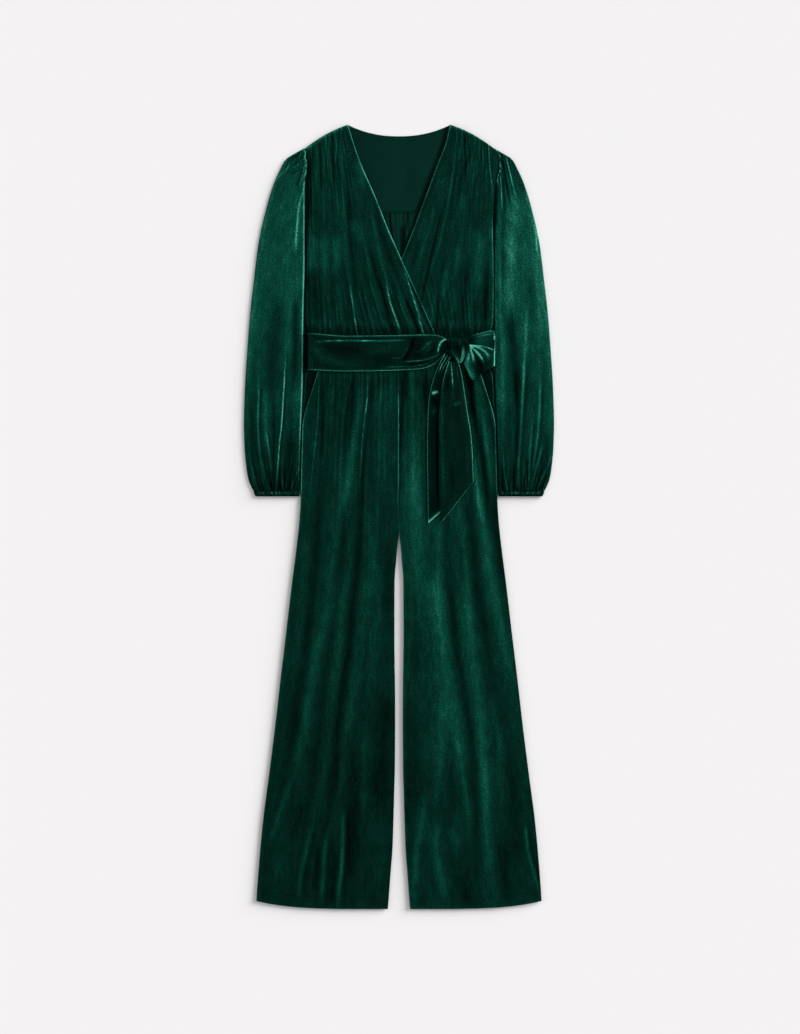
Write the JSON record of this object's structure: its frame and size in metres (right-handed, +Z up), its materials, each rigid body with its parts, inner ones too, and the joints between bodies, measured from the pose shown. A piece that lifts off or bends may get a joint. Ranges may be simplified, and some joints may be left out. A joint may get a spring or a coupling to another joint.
{
  "type": "wrap jumpsuit",
  "caption": "Long-sleeved wide-leg wrap jumpsuit in stretch velvet, laid flat on its back with its sash tied in a one-loop bow at the side.",
  "frame": {"origin": "on the surface the garment lies on, under the middle of its length and width", "axes": "+X towards the side with the bow, +Y towards the neck, +Z up from the surface, out of the garment's front"},
  "size_m": [0.5732, 1.45, 0.0347],
  "materials": {
    "back_yoke": "wrong side of velvet, matt",
    "back_bodice": "wrong side of velvet, matt",
    "wrap_lap": "velvet pile",
    "wrap_under": "velvet pile",
    "sleeve_left": "velvet pile",
    "sleeve_right": "velvet pile",
    "cuff_left": "velvet pile over elastic",
    "cuff_right": "velvet pile over elastic",
    "trouser_front_left": "velvet pile",
    "trouser_front_right": "velvet pile",
    "trouser_back_left": "velvet pile",
    "trouser_back_right": "velvet pile",
    "pocket_left": "velvet pile",
    "pocket_right": "velvet pile",
    "sash_band": "velvet pile, pressed double",
    "sash_knot": "velvet pile, pressed double",
    "sash_loop": "velvet pile, pressed double",
    "sash_tail_over": "velvet pile, pressed double",
    "sash_tail_under": "velvet pile, pressed double"
  },
  "bodies": {
    "root": {"back_yoke": "back_yoke", "back_bodice": "back_bodice", "wrap_lap": "wrap_lap", "wrap_under": "wrap_under", "sleeve_left": "sleeve_left", "sleeve_right": "sleeve_right", "cuff_left": "cuff_left", "cuff_right": "cuff_right", "trouser_front_left": "trouser_front_left", "trouser_front_right": "trouser_front_right", "trouser_back_left": "trouser_back_left", "trouser_back_right": "trouser_back_right", "pocket_left": "pocket_left", "pocket_right": "pocket_right", "sash_band": "sash_band", "sash_knot": "sash_knot", "sash_loop": "sash_loop", "sash_tail_over": "sash_tail_over", "sash_tail_under": "sash_tail_under"}
  },
  "joints": []
}
